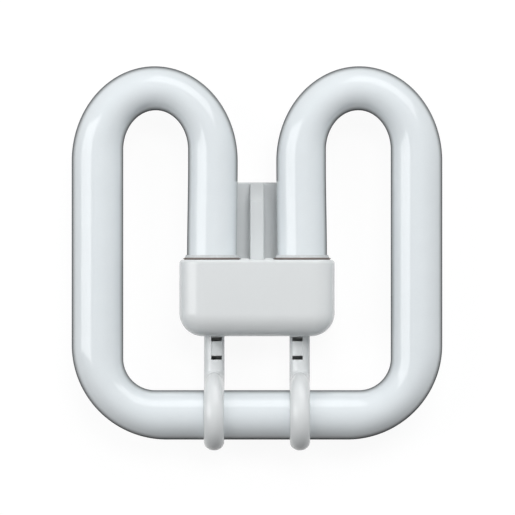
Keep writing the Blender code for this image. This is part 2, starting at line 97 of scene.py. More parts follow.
def turned(name, profile, sides, centre, upright=False):
    # A profile of (radius, height) turned about an axis through centre: Z, or Y if upright.
    # Where the profile starts off the axis, its last ring joins its first
    angle = np.linspace(0, 2 * math.pi, sides, endpoint=False)
    radius, height = np.asarray(profile, float).T
    across = radius[:, None] * np.cos(angle)
    along = radius[:, None] * np.sin(angle)
    rise = np.repeat(height[:, None], sides, 1)
    rings = np.stack([across, rise, -along] if upright else [across, along, rise], -1)
    return lofted(name, rings + np.asarray(centre, float), endless=profile[0][0] > 0)


def roundedOutline(half, low, high, lowRound, highRound, steps):
    # A rectangle about X = 0 from low to high, each corner a quarter circle
    arc = np.linspace(0, quarter, steps + 1)
    corners = (
        (half - lowRound, low + lowRound, lowRound, -quarter),
        (half - highRound, high - highRound, highRound, 0),
        (highRound - half, high - highRound, highRound, quarter),
        (lowRound - half, low + lowRound, lowRound, 2 * quarter),
    )
    parts = [
        np.stack([x + radius * np.cos(arc + start), y + radius * np.sin(arc + start)], -1)
        for x, y, radius, start in corners
    ]
    return np.concatenate(parts)


def stacked(name, outline, levels, shift=0.0):
    # Levels are (height, inset): the outline, drawn in by the inset, at each height
    rings = []
    for height, inset in levels:
        flat = outline(inset) + (shift, 0)
        rings.append(np.column_stack([flat, np.full(len(flat), height)]))
    return lofted(name, np.array(rings))


def blockLevels(low, high, lowRound=0.0, highRound=0.0, steps=6):
    # Heights and insets of a block: an edge with a round is a quarter circle, one without is sharp
    arc = np.linspace(0, quarter, steps + 1)
    lower = np.column_stack([low + lowRound * (1 - np.cos(arc)), lowRound * (1 - np.sin(arc))])
    upper = np.column_stack([high - highRound * (1 - np.sin(arc)), highRound * (1 - np.cos(arc))])
    return [*(lower if lowRound else [(low, 0)]), *(upper if highRound else [(high, 0)])]


def boxPiece(name, x, y, z):
    # A box between two places on each axis, given in any order
    (x0, x1), (y0, y1) = sorted(x), sorted(y)
    flat = [(x0, y0), (x1, y0), (x1, y1), (x0, y1)]
    rings = [np.column_stack([flat, np.full(4, height)]) for height in sorted(z)]
    return lofted(name, np.array(rings))


def rod(name, radius, start, end, sides=48):
    # A straight round bar between two points, along Z or along Y
    start, step = np.array(start, float), np.subtract(end, start)
    upright = abs(step[1]) > abs(step[2])
    angle = np.linspace(0, 2 * math.pi, sides, endpoint=False)
    spread = np.zeros((sides, 3))
    spread[:, 0] = radius * np.cos(angle)
    spread[:, 2 if upright else 1] = radius * np.sin(angle)
    return lofted(name, np.array([start + spread, start + spread + step]))


def combine(target, tool, operation):
    # The tool is joined to the target, cut from it or kept where they meet, and is used up
    cut = target.modifiers.new("cut", "BOOLEAN")
    cut.operation = operation
    cut.object = tool
    cut.solver = "EXACT"
    graph = bpy.context.evaluated_depsgraph_get()
    result = bpy.data.meshes.new_from_object(target.evaluated_get(graph))
    target.modifiers.clear()
    target.data = result
    bpy.data.objects.remove(tool, do_unlink=True)


def dress(piece, node, material):
    # Smooth between its sharp edges, with its finish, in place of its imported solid
    piece.data.materials.clear()
    piece.data.materials.append(material)
    piece.data.shade_smooth()
    piece.data.set_sharp_from_angle(angle=creaseAngle)
    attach(piece, "root")
    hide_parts(node)


# Shader helpers


def feed(tree, node, sockets):
    # Each socket takes a value or another node's socket
    for key, value in sockets.items():
        if isinstance(value, bpy.types.NodeSocket):
            tree.links.new(value, node.inputs[key])
        else:
            node.inputs[key].default_value = value


def addNode(tree, kind, sockets=None, **settings):
    made = tree.nodes.new(kind)
    for key, value in settings.items():
        setattr(made, key, value)
    feed(tree, made, sockets or {})
    return made


def worked(tree, operation, *values):
    # One step of arithmetic
    return addNode(tree, "ShaderNodeMath", dict(enumerate(values)), operation=operation).outputs[0]


def ramp(tree, value, span, kind="LINEAR"):
    # 0 where the value is the span's first number, 1 where it is the second
    sockets = {"Value": value, "From Min": span[0], "From Max": span[1]}
    return addNode(tree, "ShaderNodeMapRange", sockets, interpolation_type=kind).outputs["Result"]


def mapped(tree, mask, low, high):
    # Low where the mask is 0, high where it is 1
    sockets = {"Value": mask, "To Min": low, "To Max": high}
    return addNode(tree, "ShaderNodeMapRange", sockets).outputs["Result"]


# A mix node takes numbers on sockets 2 and 3, colours on 6 and 7, and gives a colour as output 2


def mixedNumber(tree, share, first, second):
    sockets = {0: share, 2: first, 3: second}
    return addNode(tree, "ShaderNodeMix", sockets, data_type="FLOAT").outputs[0]


def mixedColour(tree, share, first, second, blend="MIX"):
    sockets = {0: share, 6: first, 7: second}
    return addNode(tree, "ShaderNodeMix", sockets, data_type="RGBA", blend_type=blend).outputs[2]


def noiseMask(tree, position, scale, detail, low, high, roughness=0.55):
    # Noise spread so that low becomes 0 and high becomes 1
    sockets = {"Vector": position, "Scale": scale, "Detail": detail, "Roughness": roughness}
    return ramp(tree, addNode(tree, "ShaderNodeTexNoise", sockets).outputs["Fac"], (low, high))


def speckled(tree, colour, mask, depth):
    # The colour, darkened by up to depth where the mask is full
    level = mapped(tree, mask, 1.0, 1.0 - depth)
    grey = addNode(tree, "ShaderNodeCombineColor", {0: level, 1: level, 2: level}).outputs["Color"]
    return mixedColour(tree, 1.0, colour, grey, "MULTIPLY")


def bumped(tree, height, strength, distance):
    sockets = {"Height": height, "Strength": strength, "Distance": distance}
    return addNode(tree, "ShaderNodeBump", sockets).outputs["Normal"]


# Shader groups, shared by the finishes; a noise in a settings dictionary is its detail, the values
# that become 0 and 1, and its roughness where that isn't the usual one


def newGroup(name, inputs, outputs):
    group = bpy.data.node_groups.new(name, "ShaderNodeTree")
    for way, sockets in (("INPUT", inputs), ("OUTPUT", outputs)):
        for label, kind in sockets.items():
            group.interface.new_socket(name=label, in_out=way, socket_type=f"NodeSocket{kind}")
    return group, group.nodes.new("NodeGroupInput"), group.nodes.new("NodeGroupOutput")


mottleSet = {
    "wide": (2.0, 0.3, 0.7), "small": (3.0, 0.25, 0.75), "smallScale": 4.3, "smallShare": 0.35,
}


def buildMottle():
    # Two sizes of soft cloud, blended, move one colour towards another
    s = mottleSet
    group, inside, outside = newGroup(
        "softMottle", {"Position": "Vector", "Scale": "Float", "Light": "Color", "Dark": "Color"},
        {"Color": "Color", "Mask": "Float"},
    )
    position, scale = inside.outputs["Position"], inside.outputs["Scale"]
    wide = noiseMask(group, position, scale, *s["wide"])
    finer = worked(group, "MULTIPLY", scale, s["smallScale"])
    small = noiseMask(group, position, finer, *s["small"])
    both = mixedNumber(group, s["smallShare"], wide, small)
    tint = mixedColour(group, both, inside.outputs["Light"], inside.outputs["Dark"])
    feed(group, outside, {"Color": tint, "Mask": both})
    return group


grainSet = {
    "fine": (2.0, 0.3, 0.7, 0.6), "coarse": (2.0, 0.25, 0.75),
    "coarseScale": 0.23, "coarseShare": 0.3,
}


def buildGrain():
    # Fine even grain as a mask, and as a height that has some coarser grain in it
    s = grainSet
    group, inside, outside = newGroup(
        "fineGrain", {"Position": "Vector", "Scale": "Float"}, {"Mask": "Float", "Height": "Float"}
    )
    position, scale = inside.outputs["Position"], inside.outputs["Scale"]
    fine = noiseMask(group, position, scale, *s["fine"])
    wider = worked(group, "MULTIPLY", scale, s["coarseScale"])
    coarse = noiseMask(group, position, wider, *s["coarse"])
    height = mixedNumber(group, s["coarseShare"], fine, coarse)
    feed(group, outside, {"Mask": fine, "Height": height})
    return group


softMottle = buildMottle()
fineGrain = buildGrain()


def startMaterial(name):
    material = bpy.data.materials.new(name)
    material.use_nodes = True
    tree = material.node_tree
    position = tree.nodes.new("ShaderNodeTexCoord").outputs["Object"]
    return material, tree, tree.nodes["Principled BSDF"], position


def stretched(tree, position, scale):
    sockets = {"Vector": position, "Scale": scale}
    return addNode(tree, "ShaderNodeMapping", sockets).outputs["Vector"]


def clouds(tree, position, s):
    # The finish's own two tones, in clouds
    sockets = {"Position": position, "Scale": s["mottle"], "Light": s["light"], "Dark": s["dark"]}
    return addNode(tree, "ShaderNodeGroup", sockets, node_tree=softMottle).outputs


def grains(tree, position, scale):
    sockets = {"Position": position, "Scale": scale}
    return addNode(tree, "ShaderNodeGroup", sockets, node_tree=fineGrain).outputs


# Finishes

glassSet = {
    "light": (0.775, 0.822, 0.848, 1), "dark": (0.742, 0.790, 0.818, 1), "mottle": 42.0,
    "powder": 2600.0, "powderDepth": 0.02, "rough": (0.45, 0.60), "coatRough": 0.05,
    "wave": 90.0, "waveNoise": (1.0, 0.2, 0.8), "waveHeight": 0.00003, "waveStrength": 0.5,
    # edge, outlineShadeTurn and outlineShadeBand place the painted rim shade; rimShadeDepth sets
    # how dark it is painted
    "edge": (0.86, 0.98), "outlineShadeTurn": (0.40, 0.82), "outlineShadeBand": (0.0075, 0.0045),
    "rimShadeDepth": 0.76, "rimShadeCoatDrop": 1.0,
    "plateSide": (0.0108, 0.0094), "plateTop": (0.0290, 0.0282), "plateLow": (-0.0030, -0.0010),
    "plateShadeEase": 0.75,
}


def paintedRimShade(tree, position):
    # Painted shade along the tube's outline: a mask from Layer Weight darkens the powder's colour
    # where the
    #  surface is seen edge-on, widest round the tube's own outline, where z is near the middle
    #  plane, and faint beside the pale plate behind the legs
    s = glassSet
    facing = addNode(tree, "ShaderNodeLayerWeight", {"Blend": 0.5}).outputs["Facing"]
    place = addNode(tree, "ShaderNodeSeparateXYZ", {"Vector": position}).outputs
    off = worked(tree, "ABSOLUTE", worked(tree, "SUBTRACT", place["Z"], midZ))
    turn = ramp(tree, facing, s["outlineShadeTurn"], "SMOOTHSTEP")
    outline = worked(tree, "MULTIPLY", turn, ramp(tree, off, s["outlineShadeBand"]))
    edge = worked(tree, "MAXIMUM", ramp(tree, facing, s["edge"], "SMOOTHSTEP"), outline)
    beside = ramp(tree, worked(tree, "ABSOLUTE", place["X"]), s["plateSide"])
    under, over = ramp(tree, place["Y"], s["plateTop"]), ramp(tree, place["Y"], s["plateLow"])
    backed = worked(tree, "MULTIPLY", beside, worked(tree, "MULTIPLY", under, over))
    return worked(tree, "MULTIPLY", edge, mapped(tree, backed, 1.0, 1.0 - s["plateShadeEase"]))


def makeGlass():
    # White powder behind clear drawn glass: soft clouds, fine powder, a slight wave in the gloss,
    # and a painted shade along its outline, where the coat is faded out
    s = glassSet
    material, tree, shader, position = startMaterial("coatedGlass")
    mottle = clouds(tree, position, s)
    powder = grains(tree, position, s["powder"])
    colour = speckled(tree, mottle["Color"], powder["Mask"], s["powderDepth"])
    edge = paintedRimShade(tree, position)
    wave = noiseMask(tree, position, s["wave"], *s["waveNoise"])
    waved = bumped(tree, wave, s["waveStrength"], s["waveHeight"])
    feed(tree, shader, {
        # painted shade: the colour is darkened along the tube's outline
        "Base Color": speckled(tree, colour, edge, s["rimShadeDepth"]),
        "Roughness": mapped(tree, mottle["Mask"], *s["rough"]),
        "Normal": waved,
        "Specular IOR Level": 0.0,  # the powder has no gloss, so all of it comes from the coat
        # the coat fades where the shade is painted, so that the painted rim stays dark
        "Coat Weight": mapped(tree, edge, 1.0, 1.0 - s["rimShadeCoatDrop"]),
        "Coat Roughness": s["coatRough"],
        "Coat Normal": waved,
    })
    return material


plasticSet = {
    "light": (0.735, 0.757, 0.764, 1), "dark": (0.718, 0.741, 0.749, 1), "mottle": 60.0,
    "flow": (1.0, 0.45, 1.0), "grain": 5200.0, "grainDepth": 0.03, "rough": (0.18, 0.26),
    "grainHeight": 0.00002, "grainStrength": 0.35,
}


def makePlastic():
    # White moulding: faint flow clouds, a satin grain from the tool, and roughness that follows it
    s = plasticSet
    material, tree, shader, position = startMaterial("mouldedWhite")
    mottle = clouds(tree, stretched(tree, position, s["flow"]), s)
    grain = grains(tree, position, s["grain"])
    feed(tree, shader, {
        "Base Color": speckled(tree, mottle["Color"], grain["Mask"], s["grainDepth"]),
        "Roughness": mapped(tree, grain["Mask"], *s["rough"]),
        "Normal": bumped(tree, grain["Height"], s["grainStrength"], s["grainHeight"]),
    })
    return material


cementSet = {
    "light": (0.70, 0.73, 0.745, 1), "dark": (0.58, 0.60, 0.61, 1), "mottle": 260.0,
    # jointShade is a painted shade colour, laid over the jointShadeBand of heights at the cement's
    # foot
    "jointShade": (0.15, 0.11, 0.09, 1), "jointShadeBand": (0.0006, -0.0002),
    "grain": 1900.0, "grainDepth": 0.10, "rough": (0.78, 0.95),
    "grainHeight": 0.00008, "grainStrength": 0.8,
}


def makeCement():
    # Basing cement: chalky, uneven in tone, gritty, and painted dark where it meets the cap, as
    # shade
    s = cementSet
    material, tree, shader, position = startMaterial("basingCement")
    mottle = clouds(tree, position, s)
    grain = grains(tree, position, s["grain"])
    height = addNode(tree, "ShaderNodeSeparateXYZ", {"Vector": position}).outputs["Y"]
    # painted shade: the colour darkens towards the cap's top edge
    low = ramp(tree, height, s["jointShadeBand"], "SMOOTHSTEP")
    tone = mixedColour(tree, low, mottle["Color"], s["jointShade"])
    feed(tree, shader, {
        "Base Color": speckled(tree, tone, grain["Mask"], s["grainDepth"]),
        "Roughness": mapped(tree, grain["Mask"], *s["rough"]),
        "Normal": bumped(tree, grain["Height"], s["grainStrength"], s["grainHeight"]),
    })
    return material


metalSets = {
    "turnedBrass": {
        "light": (0.80, 0.60, 0.28, 1), "dark": (0.66, 0.46, 0.20, 1), "mottle": 420.0,
        "stretch": (0.3, 0.3, 4.0), "grain": 2200.0, "rough": (0.22, 0.40),
        "grainHeight": 0.00003, "grainStrength": 0.5,
    },
    "drawnWire": {
        "light": (0.64, 0.62, 0.59, 1), "dark": (0.47, 0.45, 0.42, 1), "mottle": 700.0,
        "stretch": (1.0, 1.0, 1.0), "grain": 5000.0, "rough": (0.32, 0.52),
        "grainHeight": 0.00002, "grainStrength": 0.5,
    },
}


def makeMetal(name):
    # Metal with a dulled bloom, and tool or die marks from a grain stretched across the work
    s = metalSets[name]
    material, tree, shader, position = startMaterial(name)
    bloom = clouds(tree, position, s)
    marks = grains(tree, stretched(tree, position, s["stretch"]), s["grain"])
    feed(tree, shader, {
        "Base Color": bloom["Color"],
        "Metallic": 1.0,
        "Roughness": mapped(tree, marks["Mask"], *s["rough"]),
        "Normal": bumped(tree, marks["Height"], s["grainStrength"], s["grainHeight"]),
    })
    return material


coatedGlass = makeGlass()
mouldedWhite = makePlastic()
basingCement = makeCement()
turnedBrass = makeMetal("turnedBrass")
drawnWire = makeMetal("drawnWire")
print("materials made")


# Discharge tube, with the sizes of the cap that its legs end in

tubeSet = {
    "legGap": 0.0144, "loopGap": 0.0242,
    "legRadius": 0.00925, "limbRadius": 0.0096, "footRadius": 0.0092,
    "bendOuter": 0.0354, "cornerInner": 0.0119, "loopInnerRise": 0.0147, "loopThickness": 0.0164,
    "legSplay": 0.0004, "legInsert": 0.0120, "endDome": 0.0040,
    "tipRadius": 0.0020, "tipLength": 0.0030, "tipNose": 0.0010,
    "sides": 96, "bendSteps": 150, "cornerSteps": 80, "legSteps": 24, "domeSteps": 16,
}
capSet = {
    "armReach": 0.0294, "height": 0.0285, "wall": 0.0014, "edgeRound": 0.0084, "footRound": 0.0088,
    "topRound": 0.0015, "topChamfer": 0.0009, "backRound": 0.0012,
    "lugWidth": 0.0030, "lugSpacing": 0.0088, "lugRise": 0.0005, "lugRound": 0.0004,
    "cornerSteps": 20, "edgeSteps": 22, "lugSteps": 6, "openingSides": 120,
}
legX = tubeSet["legGap"] / 2 + tubeSet["legRadius"]
seatX = legX + tubeSet["legSplay"]
limbX = tubeHigh.x - tubeSet["limbRadius"]
footY = tubeLow.y + tubeSet["footRadius"]
loopY = tubeHigh.y - tubeSet["bendOuter"]
capFoot = footY + capSet["armReach"]
capTop = capFoot + capSet["height"]


def straightStations(x, y, radius):
    # Round sections on a line down the leg; the half width points to the lamp's middle
    middle = np.column_stack([x, y, np.full(len(y), midZ)])
    half = np.zeros_like(middle)
    half[:, 0] = -radius
    return middle, half, radius


def bentStations(outerCentre, outerReach, innerCentre, innerReach, start, sweep, depths, steps):
    # Each wall of the bend is an arc of an ellipse; the section spans from one to the other
    t = np.linspace(0, 1, steps + 1)
    way = np.column_stack([np.cos(start + sweep * t), np.sin(start + sweep * t)])
    outer = np.array(outerCentre) + way * np.array(outerReach)
    inner = np.array(innerCentre) + way * np.array(innerReach)
    level = np.full(len(t), midZ)
    middle = np.column_stack([(outer + inner) / 2, level])
    half = np.column_stack([(outer - inner) / 2, level * 0])
    return middle, half, depths[0] + (depths[1] - depths[0]) * smoothStep(t)


def halfTube():
    # Half the lamp, from end to foot: the tip's quarter round, the end's dome, leg, loop and corner
    s = tubeSet
    nose = np.linspace(0, quarter, s["domeSteps"] // 2)
    dome = np.linspace(quarter, 0, s["domeSteps"])
    radius = np.concatenate([
        s["tipRadius"] - s["tipNose"] * (1 - np.sin(nose)),
        s["tipRadius"] + (s["legRadius"] - s["tipRadius"]) * np.cos(dome),
    ])
    drop = np.concatenate([
        s["endDome"] + s["tipLength"] - s["tipNose"] * (1 - np.cos(nose)),
        s["endDome"] * np.sin(dome),
    ])
    end = straightStations(np.full(len(drop), seatX), capTop - s["legInsert"] - drop, radius)
    t = np.linspace(0, 1, s["legSteps"], endpoint=False)
    leg = straightStations(
        legX + s["legSplay"] * (1 - smoothStep(t)), capTop + (loopY - capTop) * t,
        np.full(len(t), s["legRadius"]),
    )
    outerHalf = (limbX + s["limbRadius"] - legX + s["legRadius"]) / 2
    loop = bentStations(
        (limbX + s["limbRadius"] - outerHalf, loopY), (outerHalf, s["bendOuter"]),
        (legX + s["legRadius"] + s["loopGap"] / 2,
         tubeHigh.y - s["loopThickness"] - s["loopInnerRise"]),
        (s["loopGap"] / 2, s["loopInnerRise"]),
        math.pi, -math.pi, (s["legRadius"], s["limbRadius"]), s["bendSteps"],
    )
    corner = bentStations(
        (limbX + s["limbRadius"] - s["bendOuter"], footY - s["footRadius"] + s["bendOuter"]),
        (s["bendOuter"], s["bendOuter"]),
        (limbX - s["limbRadius"] - s["cornerInner"], footY + s["footRadius"] + s["cornerInner"]),
        (s["cornerInner"], s["cornerInner"]),
        0, -quarter, (s["limbRadius"], s["footRadius"]), s["cornerSteps"],
    )
    return [np.concatenate(part) for part in zip(end, leg, loop, corner)]


def makeTube():
    # Elliptical rings: middle + half width x cos a + depth x sin a out of the face
    middle, half, depth = halfTube()
    flip = np.array([-1, 1, 1])
    middle = np.concatenate([middle, middle[::-1] * flip])
    half = np.concatenate([half, half[::-1] * flip])
    depth = np.concatenate([depth, depth[::-1]])
    angle = np.linspace(0, 2 * math.pi, tubeSet["sides"], endpoint=False)
    rings = middle[:, None] + half[:, None] * np.cos(angle)[None, :, None]
    rings[..., 2] += depth[:, None] * np.sin(angle)
    return lofted("glassTube", rings)


dress(makeTube(), "discharge_tube", coatedGlass)
print("tube made")


# Cement collars

collarSet = {
    "wall": 0.0008, "depth": 0.0070, "flare": 0.0004, "rise": 0.0013, "lip": 0.0002,
    "steps": 10, "sides": 120, "uneven": 0.00008, "waves": (3, 5, 8, 13, 21), "phase": 6, "seed": 7,
}
collarRadius = tubeSet["legRadius"] + seatGap + collarSet["wall"]
openingRadius = collarRadius + seatGap


def makeCollar(side):
    # A ring of cement, hollowed round up to the glass; its brim wanders a little, by summed waves
    s = collarSet
    inner = tubeSet["legRadius"] + seatGap
    flare = collarRadius + s["flare"]
    neck = inner + s["lip"]
    brim = seatGap + s["lip"]
    arc = np.linspace(0, quarter, s["steps"] + 1)
    hollow = zip(neck + (flare - neck) * (1 - np.sin(arc)), brim + s["rise"] * (1 - np.cos(arc)))
    profile = [
        (inner, -s["depth"]), (collarRadius, -s["depth"]), (collarRadius, seatGap),
        (flare, seatGap), *hollow, (inner, brim + s["rise"]),
    ]
    name = "cementLeft" if side < 0 else "cementRight"
    piece = turned(name, profile, s["sides"], (side * seatX, capTop, midZ), upright=True)
    draws = np.random.default_rng(s["seed"] + side)
    points = np.zeros(len(piece.data.vertices) * 3)
    piece.data.vertices.foreach_get("co", points)
    points = points.reshape(-1, 3)
    away = points - (side * seatX, 0, midZ)
    around = np.arctan2(away[:, 2], away[:, 0])
    wander = sum(
        np.sin(count * around + draws.uniform(0, s["phase"])) / count for count in s["waves"]
    )
    raised = np.clip((points[:, 1] - capTop - seatGap) / s["rise"], 0, 1)
    points[:, 1] += s["uneven"] * (wander - 1) * raised
    piece.data.vertices.foreach_set("co", points.ravel())
    return piece


for side, node in ((-1, "cement_collar_left"), (1, "cement_collar_right")):
    dress(makeCollar(side), node, basingCement)
print("collars made")


# Cap: the front cover and the back base with its plate, rib, arms and hooks

recessSet = {
    "depth": 0.0070, "width": 0.0400, "height": 0.0433, "wall": 0.0022, "corner": 0.0025,
    "latchLength": 0.0080, "latchHeight": 0.0030,
    "keyWidth": 0.0040, "keyDepth": 0.0015, "keyRecessed": 0.0010, "cornerSteps": 12,
}
plateSet = {
    "rise": 0.0290, "thickness": 0.0016, "corner": 0.0040, "bevel": 0.0005, "cornerSteps": 12,
}
ribSet = {
    "width": 0.0053, "height": 0.0080, "slope": 0.0063, "end": 0.0016,
    "bevel": 0.0005, "bevelSteps": 6,
}
armSet = {
    "spacing": 0.0320, "width": 0.0076,
    "thickness": hookFront - midZ - tubeSet["footRadius"] - seatGap,
    "root": 0.0064, "bend": 0.0040, "edge": 0.0004, "edgeShare": 0.9,
    "wrap": math.radians(202.5), "thinFrom": math.radians(10), "tip": 0.0018, "armRoot": 0.0076,
    "slotHeight": 0.0015, "strip": 0.0027, "web": 0.0010, "slotFloor": 0.0012,
    "firstSlot": 0.0005, "slotPitch": 0.0069, "slots": 2,
    "pocketDepth": 0.0004, "pocketRest": 0.0025, "pocketFade": 0.0022,
    "pocketEdge": math.radians(3),
    "arcSteps": 18, "edgeSteps": 5, "fadeSteps": 6, "bendSteps": 18, "wrapSteps": 54, "tipSteps": 7,
}
mouldSet = {
    "pinRadius": 0.0018, "pinDepth": 0.0001, "cornerInset": 0.0055,
    "backX": 0.0245, "backY": 0.0068, "gateRadius": 0.0014, "gateDepth": 0.0003,
    "stubRadius": 0.0005, "stubHeight": 0.0002, "sides": 40,
}
pegSet = {"radius": 0.0010, "length": 0.0040, "post": 0.0018, "inset": 0.0055}
pinSet = {
    "radius": 0.0012, "bore": 0.0007, "boreDepth": 0.0035, "tail": 0.0036, "recessed": 0.0010,
    "flangeRadius": 0.0019, "flange": 0.0006, "spacing": 0.0100, "rows": 0.0080, "drop": 0.0085,
    "sides": 48, "noseSteps": 10, "mergeGap": 1e-7,
}

plateFront = recessSet["depth"] + plateSet["thickness"]
plateTop = capTop + plateSet["rise"]
capFront = midZ + openingRadius + capSet["wall"]
capHalf = seatX + openingRadius + capSet["wall"]
recessHalf = recessSet["width"] / 2
recessTop = plateTop - recessSet["wall"]
recessLow = recessTop - recessSet["height"]
plateHalf = recessHalf + recessSet["wall"]
pegX = capHalf - pegSet["inset"]
pegY = capFoot + pegSet["inset"]
armZ = midZ - armSet["bend"]
armHalf = armSet["width"] / 2


def capOutline(inset, topInset=None):
    # The cap from the front, drawn in by the inset; its top edge can be drawn in by another
    s = capSet
    top = inset if topInset is None else topInset
    return roundedOutline(
        capHalf - inset, capFoot + inset, capTop - top,
        s["footRound"] - inset, s["topRound"], s["cornerSteps"],
    )


def coverForm(name, wall, start):
    # The domed front: its edge is a quarter circle all round, its top edge a small chamfer
    s = capSet
    flat = capOutline(wall)
    rings = [np.column_stack([flat, np.full(len(flat), start)])]
    for angle in np.linspace(0, quarter, s["edgeSteps"] + 1):
        inset = wall + (s["edgeRound"] - wall) * (1 - math.cos(angle))
        z = capFront - s["edgeRound"] + (s["edgeRound"] - wall) * math.sin(angle)
        top = max(wall, s["topChamfer"] - (capFront - z))
        flat = capOutline(inset, top)
        rings.append(np.column_stack([flat, np.full(len(flat), z)]))
    return lofted(name, np.array(rings))


def cutOpenings(target):
    # The round ways through the cap's top edge, for the collars
    for side in (-1, 1):
        start = (side * seatX, capTop + capSet["wall"], midZ)
        end = (side * seatX, capTop - 2 * capSet["wall"], midZ)
        opening = rod("opening", openingRadius, start, end, capSet["openingSides"])
        combine(target, opening, "DIFFERENCE")


def lugOutline(inset):
    s = capSet
    return roundedOutline(
        s["lugWidth"] / 2 - inset, capTop - s["wall"] / 2, capTop + s["lugRise"] - inset,
        s["lugRound"], s["lugRound"], s["lugSteps"],
    )


def makeCover():
    # The domed form, hollowed, with two lugs on its top edge and a peg on a post at each side
    rim = midZ + seatGap / 2
    wall = capSet["wall"]
    cover = coverForm("capCover", 0.0, rim)
    combine(cover, coverForm("coverHollow", wall, rim - wall), "DIFFERENCE")
    cutOpenings(cover)
    for side in (-1, 1):
        levels = blockLevels(rim, capFront - capSet["topChamfer"], 0.0, capSet["lugRound"] / 2)
        combine(cover, stacked("lug", lugOutline, levels, side * capSet["lugSpacing"] / 2), "UNION")
        post = rod("post", pegSet["post"], (side * pegX, pegY, rim), (side * pegX, pegY, capFront))
        combine(post, coverForm("trim", wall / 2, rim - pegSet["length"]), "INTERSECT")
        combine(cover, post, "UNION")
        foot = (side * pegX, pegY, midZ - pegSet["length"])
        combine(cover, rod("peg", pegSet["radius"], foot, (side * pegX, pegY, rim + wall)), "UNION")
    return cover


dress(makeCover(), "cap_cover", mouldedWhite)
print("cover made")


def plateOutline(inset):
    s = plateSet
    low = capTop - 2 * capSet["wall"]
    return roundedOutline(
        plateHalf - inset, low, plateTop - inset, s["bevel"], s["corner"] - inset, s["cornerSteps"]
    )


def recessOutline(inset):
    s = recessSet
    return roundedOutline(
        recessHalf - inset, recessLow + inset, recessTop - inset,
        s["corner"], s["corner"], s["cornerSteps"],
    )


def ribOutline(inset):
    # The rib's side as y, z; its front, its free end and the slope there are drawn in by the inset
    s = ribSet
    top = plateFront + s["height"]
    end = plateTop - plateSet["bevel"]
    start = capTop - capSet["wall"] / 2
    foot = plateFront - plateSet["thickness"] / 2
    steep = (s["height"] - s["end"]) / s["slope"]
    lean = math.hypot(1, steep)
    return np.array([
        (start, foot), (start, top - inset),
        (end - s["slope"] - inset * (lean - 1) / steep, top - inset),
        (end - inset, plateFront + s["end"] - inset * (lean - steep)), (end - inset, foot),
    ])


def makeRib():
    # The outline at places across the rib; its long edges are quarter circles of inset
    s = ribSet
    arc = np.linspace(0, quarter, s["bevelSteps"] + 1)
    inset = s["bevel"] * (1 - np.sin(arc))
    x = s["bevel"] * (1 - np.cos(arc)) - s["width"] / 2
    rings = []
    for place, draw in zip(np.append(x, -x[::-1]), np.append(inset, inset[::-1])):
        side = ribOutline(draw)
        rings.append(np.column_stack([np.full(len(side), place), side]))
    return lofted("rib", np.array(rings))


def armPath():
    # The arm's middle line as y, z, then its turn, half thickness, size, pocket depth and the root
    # behind. It runs straight down from the cap, bends forward over the limb, wraps it and closes
    s = armSet
    inner = tubeSet["footRadius"] + seatGap
    thin, thick = s["thickness"] / 2, s["root"] / 2
    bendY = footY + inner + thick + s["bend"]
    pocketY = bendY + s["pocketRest"]
    fade = np.linspace(0, 1, s["fadeSteps"])
    straightY = np.append(capFoot + capSet["wall"] / 2, pocketY + s["pocketFade"] * (1 - fade))
    level = np.ones(len(straightY))
    straight = [straightY, armZ * level, 0 * level, thin * level, level,
                s["pocketDepth"] * np.append(1, 1 - smoothStep(fade)), s["armRoot"] * level]
    t = np.linspace(0, 1, s["bendSteps"], endpoint=False)
    angle = quarter * t
    bend = [bendY - s["bend"] * np.sin(angle), midZ - s["bend"] * np.cos(angle), angle,
            thin + (thick - thin) * smoothStep(t), np.ones(len(t)), np.zeros(len(t)),
            s["armRoot"] * (1 - smoothStep(t))]
    angle = quarter - s["wrap"] * np.linspace(0, 1, s["wrapSteps"] + 1)
    half = thin + (thick - thin) * smoothStep((angle - s["thinFrom"]) / (quarter - s["thinFrom"]))
    wrap = [footY + (inner + half) * np.sin(angle), midZ + (inner + half) * np.cos(angle),
            angle, half, np.ones(len(angle)), np.zeros(len(angle)), np.zeros(len(angle))]
    close = quarter * np.arange(1, s["tipSteps"] + 1) / (s["tipSteps"] + 1)
    angle = quarter - s["wrap"] - s["tip"] * np.sin(close) / (inner + thin)
    tip = [footY + (inner + thin) * np.sin(angle), midZ + (inner + thin) * np.cos(angle),
           angle, np.full(len(close), thin), np.cos(close), np.zeros(len(close)),
           np.zeros(len(close))]
    return [np.concatenate(part) for part in zip(straight, bend, wrap, tip)]


